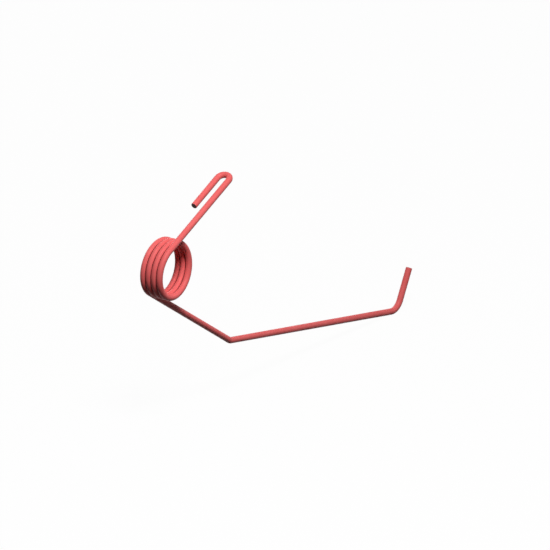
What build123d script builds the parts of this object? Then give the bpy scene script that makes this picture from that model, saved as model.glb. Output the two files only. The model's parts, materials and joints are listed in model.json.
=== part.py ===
from build123d import *
import math
import os

# A spring tine for the harrow that follows a seed drill: one length of round spring-steel wire.
# A hairpin at the top is clamped to the machine, a close-wound coil gives the tine its spring,
# and a long arm runs from the coil to an upturned working tip.
#
# Frame: the origin is on the coil's axis, in the middle of the coil's length. +Y runs along that
# axis, from the turn that carries the upper leg to the turn that carries the arm. +X points from
# the coil towards the working tip, and +Z is up.

# Driving dimensions, in millimetres and degrees. Both legs are measured from where they leave the
# coil. The arm's lengths are measured as on a wire bender's drawing, to the sharp corners where the
# centrelines of its straight stretches would meet.
wire_diameter = 8.0
end_chamfer = 0.5

coil_inner_diameter = 61.0
whole_turns = 3
turn_gap = 0.2
set_bend_radius = 60.0

upper_leg_rise_angle = 23.0
upper_leg_length = 135.5
hairpin_slot_width = 8.7
return_leg_length = 55.0

first_leg_drop_angle = 34.1
first_leg_length = 208.5
knee_angle = 22.7
knee_inner_radius = 4.0
long_run_length = 366.5
tip_angle = 73.0
tip_inner_radius = 14.2
tip_length = 55.0

# The coil climbs one wire and one gap along its axis in each turn. Past its whole turns it goes on
# until the upper leg and the arm both leave it at a tangent, each at its own angle.
coil_radius = (coil_inner_diameter + wire_diameter) / 2
coil_pitch = wire_diameter + turn_gap
part_turn_angle = 180 - upper_leg_rise_angle - first_leg_drop_angle
coil_length = coil_pitch * (whole_turns + part_turn_angle / 360)
lead_angle = math.degrees(math.atan2(coil_pitch, 2 * math.pi * coil_radius))

coil_axis = Vector(0, 1, 0)
lifting_axis = Vector(0, -1, 0)


def straight(start, heading, length):
    """A straight stretch of the wire's centreline."""
    return Line(start, start + heading * length)


def bend(start, heading, axis, radius, angle):
    """A round bend of the centreline, which turns the heading about the axis by the right-hand rule."""
    bending_plane = Plane(origin=start, x_dir=heading, z_dir=axis)
    return bending_plane * JernArc((0, 0), (1, 0), radius, angle)


def set_back(radius, angle):
    """How far before its sharp corner a round bend begins."""
    return radius * math.tan(math.radians(angle / 2))


def round_wire(centreline, seam_side):
    """The wire's round section, carried along one stretch with the surface's seam on the given side."""
    section_plane = Plane(origin=centreline @ 0, x_dir=seam_side, z_dir=centreline % 0)
    return sweep(section_plane * Circle(wire_diameter / 2), path=centreline, is_frenet=True)


# The coil is a left-handed helix: seen from the upper leg's side, it winds anticlockwise as it recedes.
# It is wound in as many equal stretches as it has whole turns, each a little more than one turn long.
stretch_angle = 360 + part_turn_angle / whole_turns
stretch_length = coil_length / whole_turns
coil = []
coil_wire = []
for stretch in range(whole_turns):
    start_angle = upper_leg_rise_angle + 90 + stretch * stretch_angle
    outward = Vector(1, 0, 0).rotate(Axis((0, 0, 0), lifting_axis), start_angle)
    middle = coil_axis * (stretch * stretch_length - coil_length / 2)
    winding_plane = Plane(origin=middle, x_dir=outward, z_dir=coil_axis)
    turn = winding_plane * Helix(coil_pitch, stretch_length, coil_radius, lefthand=True)
    coil.append(turn)
    coil_wire.append(round_wire(turn, outward * -1))
first_turn = coil[0]
last_turn = coil[-1]

# A slight set where each leg leaves the coil takes out the helix's lead, so that both legs stand
# square to the coil's axis.
set_reach = set_bend_radius * math.sin(math.radians(lead_angle))

# The hairpin end. The upper leg runs out from the first turn, and the hairpin folds the wire back
# beside it along the coil's axis, so that its short free leg lies over the turns.
upper_heading = (first_turn % 0) * -1
upper_side = upper_heading.cross(coil_axis)
upper_set = bend(first_turn @ 0, upper_heading, upper_side, set_bend_radius, lead_angle)
upper_leg = straight(upper_set @ 1, upper_set % 1, upper_leg_length - set_reach)
hairpin_radius = (hairpin_slot_width + wire_diameter) / 2
hairpin = bend(upper_leg @ 1, upper_leg % 1, upper_side, hairpin_radius, 180)
return_leg = straight(hairpin @ 1, hairpin % 1, return_leg_length)

# The arm. The first leg drops from the last turn to a tight knee, the long run goes on from there at
# a flatter slope, and a wider bend turns the tip up.
arm_heading = last_turn % 1
arm_side = arm_heading.cross(coil_axis)
arm_set = bend(last_turn @ 1, arm_heading, arm_side, set_bend_radius, -lead_angle)
knee_radius = knee_inner_radius + wire_diameter / 2
tip_bend_radius = tip_inner_radius + wire_diameter / 2
knee_back = set_back(knee_radius, knee_angle)
tip_back = set_back(tip_bend_radius, tip_angle)
first_leg = straight(arm_set @ 1, arm_set % 1, first_leg_length - set_reach - knee_back)
knee = bend(first_leg @ 1, first_leg % 1, lifting_axis, knee_radius, knee_angle)
long_run = straight(knee @ 1, knee % 1, long_run_length - knee_back - tip_back)
tip_bend = bend(long_run @ 1, long_run % 1, lifting_axis, tip_bend_radius, tip_angle)
tip = straight(tip_bend @ 1, tip_bend % 1, tip_length - tip_back)

# The stretches meet face to face and join into one solid, from the free leg's end to the tip.
hairpin_end = [return_leg, hairpin, upper_leg, upper_set]
arm = [arm_set, first_leg, knee, long_run, tip_bend, tip]
hairpin_wire = [round_wire(stretch, upper_side) for stretch in hairpin_end]
arm_wire = [round_wire(stretch, arm_side) for stretch in arm]
spring_tine = Part() + hairpin_wire + coil_wire + arm_wire

# Both ends are cut off square, and the cut's sharp edge is broken.
cut_ends = spring_tine.faces().filter_by(GeomType.PLANE)
spring_tine = chamfer(cut_ends.edges(), end_chamfer)

os.makedirs("parts", exist_ok=True)
export_step(spring_tine, "parts/spring_tine.step")
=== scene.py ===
import json
import math

import bmesh
import bpy
from mathutils import Matrix, Vector


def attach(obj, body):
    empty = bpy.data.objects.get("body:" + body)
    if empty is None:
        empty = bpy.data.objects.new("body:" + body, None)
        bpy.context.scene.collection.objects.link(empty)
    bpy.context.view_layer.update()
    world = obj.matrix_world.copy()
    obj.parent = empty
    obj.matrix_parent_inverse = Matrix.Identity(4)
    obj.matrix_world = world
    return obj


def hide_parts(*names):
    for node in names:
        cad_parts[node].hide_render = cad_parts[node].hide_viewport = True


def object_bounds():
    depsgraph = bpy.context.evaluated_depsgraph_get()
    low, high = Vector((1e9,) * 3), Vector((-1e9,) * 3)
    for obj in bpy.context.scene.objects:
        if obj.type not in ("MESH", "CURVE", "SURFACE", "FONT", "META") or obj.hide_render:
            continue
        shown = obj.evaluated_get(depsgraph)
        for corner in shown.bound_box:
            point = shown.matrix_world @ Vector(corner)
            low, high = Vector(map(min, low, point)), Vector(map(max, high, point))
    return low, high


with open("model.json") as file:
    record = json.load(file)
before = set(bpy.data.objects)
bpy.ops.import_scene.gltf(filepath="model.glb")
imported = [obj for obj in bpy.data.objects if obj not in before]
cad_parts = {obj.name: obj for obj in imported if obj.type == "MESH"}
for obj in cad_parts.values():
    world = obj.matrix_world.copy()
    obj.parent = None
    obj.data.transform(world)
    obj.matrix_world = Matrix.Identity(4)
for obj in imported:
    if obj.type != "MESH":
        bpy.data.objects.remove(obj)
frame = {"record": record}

cad_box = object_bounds()

# Camera: a parallel view from above, on the hairpin's side, as in the photograph. The coil opens
# towards it at the left, and the arm runs away to the right.
mm = 0.001
view_azimuth = math.radians(-54.929)
view_elevation = math.radians(20.848)
view_width = 679.25 * mm
view_distance = 2.5
aim_right_of_coil = 121.44 * mm
aim_below_coil = 4.95 * mm
first_turn_middle = Vector((0, -13.7 * mm, 0))

view_right = Vector((math.cos(view_azimuth), math.sin(view_azimuth), 0))
view_back = Vector((
    math.sin(view_azimuth) * math.cos(view_elevation),
    -math.cos(view_azimuth) * math.cos(view_elevation),
    math.sin(view_elevation),
))
view_up = view_back.cross(view_right)
aim = first_turn_middle + view_right * aim_right_of_coil - view_up * aim_below_coil

camera_data = bpy.data.cameras.new("camera")
camera_data.type = "ORTHO"
camera_data.ortho_scale = view_width
camera = bpy.data.objects.new("camera", camera_data)
camera.matrix_world = Matrix.Translation(aim + view_back * view_distance) @ Matrix(
    (view_right, view_up, view_back)
).transposed().to_4x4()
bpy.context.scene.collection.objects.link(camera)
bpy.context.scene.camera = camera

# Wire: the whole tine is one length of round spring steel, wound and bent cold, then painted. Here
# its section is pushed on from the coil's first turn, forwards through the coil and the arm to the
# tip, and backwards up the leg and round the hairpin to the free end.
record = frame["record"]
mounts = {mount["name"]: mount for mount in record["mounts"]}
wire_radius = mounts["return_leg"]["dims"]["r_mm"] * mm
coil_radius = mounts["coil_bore"]["dims"]["r_mm"] * mm + wire_radius
coil_pitch = 8.2 * mm
whole_turns = 3
set_bend_radius = 60 * mm

upper_leg_rise = math.radians(23.0)
upper_leg_length = 135.5 * mm
hairpin_radius = 8.35 * mm
return_leg_length = 55.0 * mm

first_leg_drop = math.radians(34.1)
first_leg_length = 208.5 * mm
knee_turn = math.radians(22.7)
knee_radius = 8.0 * mm
long_run_length = 366.5 * mm
tip_turn = math.radians(73.0)
tip_bend_radius = 18.2 * mm
tip_length = 55.0 * mm

sides_round_wire = 48
bend_step = math.radians(4)
knee_step = math.radians(2)
set_step = math.radians(1)
support_length = 1.2 * mm
cut_edge_round = 0.7 * mm
cut_edge_steps = 3
quarter_round = 0.5

coil_axis = Vector((0, 1, 0))
lifting_axis = Vector((0, -1, 0))
coil_turn = whole_turns * 2 * math.pi + math.pi - upper_leg_rise - first_leg_drop
coil_length = coil_pitch * coil_turn / (2 * math.pi)
lead_angle = math.atan2(coil_pitch, 2 * math.pi * coil_radius)

wire = bmesh.new()
stock_place = wire.verts.layers.float_vector.new("stock_place")
left_inside = set()


def push(front, motion, steps, length):
    """Pushes the wire's front face on through equal steps of one motion, and notes each ring's place
    on the straight stock that the wire was bent from."""
    for step in range(steps):
        pushed = bmesh.ops.extrude_face_region(wire, geom=[front])["geom"]
        left_inside.add(front)
        front = next(part for part in pushed if isinstance(part, bmesh.types.BMFace))
        bmesh.ops.transform(wire, matrix=motion, verts=front.verts)
        for corner in front.verts:
            corner[stock_place] += Vector((0, 0, length / steps))
    return front


def feed(front, heading, length, way=1):
    """Feeds the wire straight on, with a ring close to each end that keeps the shading even. The way
    is 1 towards the tip and -1 towards the free end, here and in bend."""
    for part in (support_length, length - 2 * support_length, support_length):
        front = push(front, Matrix.Translation(heading * part), 1, part * way)
    return front


def bend(front, heading, axis, radius, turn, step, way=1):
    """Bends the wire about an axis that lies beside it, and gives the front and its new heading."""
    centre = front.calc_center_median() + axis.cross(heading) * radius
    steps = math.ceil(turn / step)
    motion = (
        Matrix.Translation(centre)
        @ Matrix.Rotation(turn / steps, 4, axis)
        @ Matrix.Translation(-centre)
    )
    front = push(front, motion, steps, radius * turn * way)
    return front, Matrix.Rotation(turn, 3, axis) @ heading


def set_back(radius, turn):
    """How far before its sharp corner a round bend begins."""
    return radius * math.tan(turn / 2)


start_turn = upper_leg_rise + math.pi / 2
outward = Matrix.Rotation(start_turn, 3, lifting_axis) @ Vector((1, 0, 0))
level_heading = lifting_axis.cross(outward)
heading = level_heading * math.cos(lead_angle) + coil_axis * math.sin(lead_angle)
start = outward * coil_radius - coil_axis * coil_length / 2
section_place = Matrix.Translation(start) @ Matrix(
    (outward, heading.cross(outward), heading)
).transposed().to_4x4()
bmesh.ops.create_circle(
    wire, cap_ends=True, segments=sides_round_wire, radius=wire_radius
)
for corner in wire.verts:
    corner[stock_place] = corner.co
bmesh.ops.transform(wire, matrix=section_place, verts=wire.verts)
wire.faces.ensure_lookup_table()
back_face = wire.faces[0]

# The coil's turns lie side by side, each one pitch further along the coil's axis.
coil_steps = round(coil_turn / bend_step)
coil_motion = Matrix.Translation(coil_axis * coil_length / coil_steps) @ Matrix.Rotation(
    coil_turn / coil_steps, 4, lifting_axis
)
coil_wire_length = coil_turn * coil_radius / math.cos(lead_angle)
front = push(back_face, coil_motion, coil_steps, coil_wire_length)
heading_on = Matrix.Rotation(coil_turn, 3, lifting_axis) @ heading

# The arm: a slight set squares it to the coil's axis, then come the first leg, the tight knee, the
# long run, the wider bend and the tip.
set_reach = set_bend_radius * math.sin(lead_angle)
knee_back = set_back(knee_radius, knee_turn)
tip_back = set_back(tip_bend_radius, tip_turn)
arm_side = heading_on.cross(coil_axis).normalized()
front, heading_on = bend(
    front, heading_on, -arm_side, set_bend_radius, lead_angle, set_step
)
front = feed(front, heading_on, first_leg_length - set_reach - knee_back)
front, heading_on = bend(front, heading_on, lifting_axis, knee_radius, knee_turn, knee_step)
front = feed(front, heading_on, long_run_length - knee_back - tip_back)
front, heading_on = bend(
    front, heading_on, lifting_axis, tip_bend_radius, tip_turn, bend_step
)
front = feed(front, heading_on, tip_length - tip_back)
tip_face = front

# The hairpin end, the other way from the coil's first turn: a slight set again, the upper leg, the
# hairpin, which folds the wire back beside itself, and the short free leg.
heading_back = -heading
upper_side = heading_back.cross(coil_axis).normalized()
front, heading_back = bend(
    back_face, heading_back, upper_side, set_bend_radius, lead_angle, set_step, -1
)
front = feed(front, heading_back, upper_leg_length - set_reach, -1)
front, heading_back = bend(
    front, heading_back, upper_side, hairpin_radius, math.pi, bend_step, -1
)
front = feed(front, heading_back, return_leg_length, -1)
free_face = front

# Each step leaves its old front inside the wire, and those go. Both ends are sheared off square, and
# their edges are broken before painting.
bmesh.ops.delete(wire, geom=list(left_inside), context="FACES_ONLY")
stock_start = min(corner[stock_place].z for corner in free_face.verts)
for corner in wire.verts:
    corner[stock_place] -= Vector((0, 0, stock_start))
stock_length = max(corner[stock_place].z for corner in tip_face.verts)
cut_edges = list(free_face.edges) + list(tip_face.edges)
bmesh.ops.bevel(
    wire,
    geom=cut_edges,
    offset=cut_edge_round,
    offset_type="OFFSET",
    segments=cut_edge_steps,
    profile=quarter_round,
    affect="EDGES",
    material=-1,
)
bmesh.ops.recalc_face_normals(wire, faces=wire.faces)
for face in wire.faces:
    face.smooth = len(face.verts) == 4

tine_mesh = bpy.data.meshes.new("tine_wire")
wire.to_mesh(tine_mesh)
wire.free()
tine = bpy.data.objects.new("tine_wire", tine_mesh)
bpy.context.scene.collection.objects.link(tine)

# The paint is one satin red coat, sprayed on after winding. It follows the drawn wire's fine lines
# and has a slight orange peel. In the grooves where the coil's turns touch, a near-black red is
# painted shade. On the sheared ends it is thin over dark steel, which also serves as painted shade.
paint_red = (0.86, 0.153, 0.151, 1)
paint_red_thick = (0.82, 0.135, 0.133, 1)
painted_groove_shade = (0.05, 0.006, 0.006, 1)
dark_steel_and_end_shade = (0.10, 0.085, 0.08, 1)
tone_patch = 22 * mm
gloss_patch = 6 * mm
noise_low = 0.3
noise_high = 0.7
drawn_line_width = 0.45 * mm
drawn_line_length = 30 * mm
drawn_line_depth = 0.03 * mm
scale_pit_width = 3.5 * mm
scale_pit_stretch = 1.6
scale_pit_detail = 3.0
scale_pit_depth = 0.035 * mm
peel_width = 0.9 * mm
peel_detail = 1.0
peel_depth = 0.025 * mm
paint_gloss = 0.12
roughness_low = 0.42
roughness_high = 0.5
touch_starts = 0.84
touch_ends = 0.99
touch_fade = 25 * mm
dark_end_reach = 0.45 * mm
worn_speck = 0.6 * mm
worn_high = 0.6
least_worn = 0.7

paint = bpy.data.materials.new("red_paint")
paint.use_nodes = True
nodes = paint.node_tree.nodes
links = paint.node_tree.links
shader = nodes["Principled BSDF"]
shader.inputs["Specular IOR Level"].default_value = paint_gloss

stock = nodes.new("ShaderNodeAttribute")
stock.attribute_name = "stock_place"
stock_parts = nodes.new("ShaderNodeSeparateXYZ")
links.new(stock.outputs["Vector"], stock_parts.inputs[0])


def speckle(size, stretch=1, detail=2.0):
    """Noise with cells of one size across the wire, and as many times longer along it as asked."""
    spread = nodes.new("ShaderNodeMapping")
    spread.inputs["Scale"].default_value = (1 / size, 1 / size, 1 / (size * stretch))
    noise = nodes.new("ShaderNodeTexNoise")
    noise.inputs["Scale"].default_value = 1
    noise.inputs["Detail"].default_value = detail
    links.new(stock.outputs["Vector"], spread.inputs["Vector"])
    links.new(spread.outputs["Vector"], noise.inputs["Vector"])
    return noise.outputs["Fac"]


def ranged(value, from_low, from_high, to_low=0.0, to_high=1.0):
    """A smooth step of a value from one range to another."""
    step = nodes.new("ShaderNodeMapRange")
    step.interpolation_type = "SMOOTHSTEP"
    step.inputs["From Min"].default_value = from_low
    step.inputs["From Max"].default_value = from_high
    step.inputs["To Min"].default_value = to_low
    step.inputs["To Max"].default_value = to_high
    links.new(value, step.inputs["Value"])
    return step.outputs["Result"]


def combined(operation, first, second):
    """Two values put together by one operation. The second may be a plain number."""
    maths = nodes.new("ShaderNodeMath")
    maths.operation = operation
    links.new(first, maths.inputs[0])
    if isinstance(second, float):
        maths.inputs[1].default_value = second
    else:
        links.new(second, maths.inputs[1])
    return maths.outputs[0]


def mixed(share, first, second):
    """Two colours mixed by a share."""
    mix = nodes.new("ShaderNodeMix")
    mix.data_type = "RGBA"
    links.new(share, mix.inputs["Factor"])
    for place, colour in (("A", first), ("B", second)):
        socket = next(i for i in mix.inputs if i.name == place and i.type == "RGBA")
        if isinstance(colour, tuple):
            socket.default_value = colour
        else:
            links.new(colour, socket)
    return next(o for o in mix.outputs if o.type == "RGBA")


def relief(height, depth, beneath=None):
    """A fine relief of one depth in the paint's surface, on top of the one beneath it."""
    bump = nodes.new("ShaderNodeBump")
    bump.inputs["Distance"].default_value = depth
    links.new(height, bump.inputs["Height"])
    if beneath is not None:
        links.new(beneath, bump.inputs["Normal"])
    return bump.outputs["Normal"]


# Painted shade where the turns touch: the far side of every turn but the last, the near side of all
# but the first.
across = combined("DIVIDE", stock_parts.outputs["Y"], wire_radius)
along = stock_parts.outputs["Z"]
turn_length = coil_wire_length * 2 * math.pi / coil_turn
coil_begins = return_leg_length + math.pi * hairpin_radius + upper_leg_length
coil_finishes = coil_begins + coil_wire_length


def shade_strip(side, begins, finishes):
    """A strip of painted shade along one side of the wire, 1 for the far side and -1 for the near
    one.
    It fades in before it begins and out after it finishes."""
    on_this_side = ranged(across, side * touch_starts, side * touch_ends)
    fading_in = ranged(along, begins - touch_fade, begins)
    fading_out = ranged(along, finishes, finishes + touch_fade, 1, 0)
    return combined("MULTIPLY", on_this_side, combined("MULTIPLY", fading_in, fading_out))


# Painted shade: a near-black red in the grooves where the coil's turns touch.
shade_between_turns = combined(
    "MAXIMUM",
    shade_strip(1, coil_begins, coil_finishes - turn_length),
    shade_strip(-1, coil_begins + turn_length, coil_finishes),
)

# Where the paint is thin: the two sheared ends, whose dark steel is also painted shade there.
sheared = combined(
    "MAXIMUM",
    ranged(along, 0, dark_end_reach, 1, 0),
    ranged(along, stock_length - dark_end_reach, stock_length, 0, 1),
)
worn = ranged(speckle(worn_speck), noise_low, worn_high, least_worn, 1)
thin_paint_and_end_shade = combined("MULTIPLY", sheared, worn)

red = mixed(
    ranged(speckle(tone_patch), noise_low, noise_high), paint_red, paint_red_thick
)
# Painted shade darkens the red to near black in the grooves between the turns.
red = mixed(shade_between_turns, red, painted_groove_shade)
# Thin paint over dark steel on the sheared ends, dark enough to be painted shade on the end faces.
links.new(mixed(thin_paint_and_end_shade, red, dark_steel_and_end_shade), shader.inputs["Base Color"])
links.new(
    ranged(speckle(gloss_patch), noise_low, noise_high, roughness_low, roughness_high),
    shader.inputs["Roughness"],
)

# The relief, from the steel outwards: the drawing die's lines, shallow scale pits and orange peel.
drawn_lines = relief(
    speckle(drawn_line_width, drawn_line_length / drawn_line_width), drawn_line_depth
)
scale_pits = relief(
    speckle(scale_pit_width, scale_pit_stretch, scale_pit_detail), scale_pit_depth, drawn_lines
)
orange_peel = relief(speckle(peel_width, detail=peel_detail), peel_depth, scale_pits)
links.new(orange_peel, shader.inputs["Normal"])
tine_mesh.materials.append(paint)

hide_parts("spring_tine")
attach(tine, "root")

# Floor: a plain pale studio floor just under the tine's lowest bend. The camera and the paint's gloss
# see it as a white background with a soft shadow, and it throws little light up at the tine.
floor_half_width = 6.0
floor_gap = 0.2 * mm
floor_colour = (0.8, 0.8, 0.8, 1)
floor_bounce = (0.03, 0.03, 0.03, 1)
white = (1, 1, 1, 1)
white_strength = 1.0
white_share = 0.97

lowest, highest = cad_box
floor_shape = bmesh.new()
bmesh.ops.create_grid(floor_shape, x_segments=1, y_segments=1, size=floor_half_width)
bmesh.ops.translate(
    floor_shape, vec=(0, 0, lowest.z - floor_gap), verts=floor_shape.verts
)
floor_mesh = bpy.data.meshes.new("studio_floor")
floor_shape.to_mesh(floor_mesh)
floor_shape.free()
floor = bpy.data.objects.new("studio_floor", floor_mesh)
bpy.context.scene.collection.objects.link(floor)


def background_rays(nodes, links):
    """Is 1 for the rays that see the background: from the camera, or sent on by gloss or glass."""
    path = nodes.new("ShaderNodeLightPath")
    seen = path.outputs["Is Camera Ray"]
    for kind in ("Is Glossy Ray", "Is Transmission Ray"):
        either = nodes.new("ShaderNodeMath")
        either.operation = "MAXIMUM"
        links.new(seen, either.inputs[0])
        links.new(path.outputs[kind], either.inputs[1])
        seen = either.outputs[0]
    return seen


floor_finish = bpy.data.materials.new("pale_floor")
floor_finish.use_nodes = True
nodes = floor_finish.node_tree.nodes
links = floor_finish.node_tree.links
nodes.clear()
bounce = nodes.new("ShaderNodeBsdfDiffuse")
bounce.inputs["Color"].default_value = floor_bounce
pale = nodes.new("ShaderNodeBsdfDiffuse")
pale.inputs["Color"].default_value = floor_colour
glow = nodes.new("ShaderNodeEmission")
glow.inputs["Color"].default_value = white
glow.inputs["Strength"].default_value = white_strength
background = nodes.new("ShaderNodeMixShader")
background.inputs[0].default_value = white_share
links.new(pale.outputs[0], background.inputs[1])
links.new(glow.outputs[0], background.inputs[2])
floor_look = nodes.new("ShaderNodeMixShader")
links.new(background_rays(nodes, links), floor_look.inputs[0])
links.new(bounce.outputs[0], floor_look.inputs[1])
links.new(background.outputs[0], floor_look.inputs[2])
surface = nodes.new("ShaderNodeOutputMaterial")
links.new(floor_look.outputs[0], surface.inputs["Surface"])
floor_mesh.materials.append(floor_finish)

# Light: a large soft lamp above the camera, two softer ones at the right and behind, and a faint even
# light from the room, whose walls are the white background.
room_strength = 0.01
lamp_distance = 2.4
key_azimuth = math.radians(-48)
key_elevation = math.radians(56)
key_size = 0.6
key_power = 54
right_azimuth = math.radians(54)
right_elevation = math.radians(14)
right_size = 1.2
right_power = 5
back_azimuth = math.radians(150)
back_elevation = math.radians(8)
back_size = 2.0
back_power = 24

world = bpy.data.worlds.new("room")
bpy.context.scene.world = world
world.use_nodes = True
nodes = world.node_tree.nodes
links = world.node_tree.links
nodes.clear()
room = nodes.new("ShaderNodeBackground")
room.inputs["Color"].default_value = white
room.inputs["Strength"].default_value = room_strength
walls = nodes.new("ShaderNodeBackground")
walls.inputs["Color"].default_value = white
walls.inputs["Strength"].default_value = white_strength
room_look = nodes.new("ShaderNodeMixShader")
links.new(background_rays(nodes, links), room_look.inputs[0])
links.new(room.outputs[0], room_look.inputs[1])
links.new(walls.outputs[0], room_look.inputs[2])
surface = nodes.new("ShaderNodeOutputWorld")
links.new(room_look.outputs[0], surface.inputs["Surface"])


def lamp(name, azimuth, elevation, size, power):
    """A square soft lamp that looks at the middle of the tine."""
    middle = (lowest + highest) / 2
    away = Vector((
        math.sin(azimuth) * math.cos(elevation),
        -math.cos(azimuth) * math.cos(elevation),
        math.sin(elevation),
    ))
    data = bpy.data.lights.new(name, "AREA")
    data.size = size
    data.energy = power
    light = bpy.data.objects.new(name, data)
    light.location = middle + away * lamp_distance
    light.rotation_euler = (-away).to_track_quat("-Z", "Y").to_euler()
    bpy.context.scene.collection.objects.link(light)


lamp("key_lamp", key_azimuth, key_elevation, key_size, key_power)
lamp("right_lamp", right_azimuth, right_elevation, right_size, right_power)
lamp("back_lamp", back_azimuth, back_elevation, back_size, back_power)

bpy.context.scene.view_settings.view_transform = "Standard"
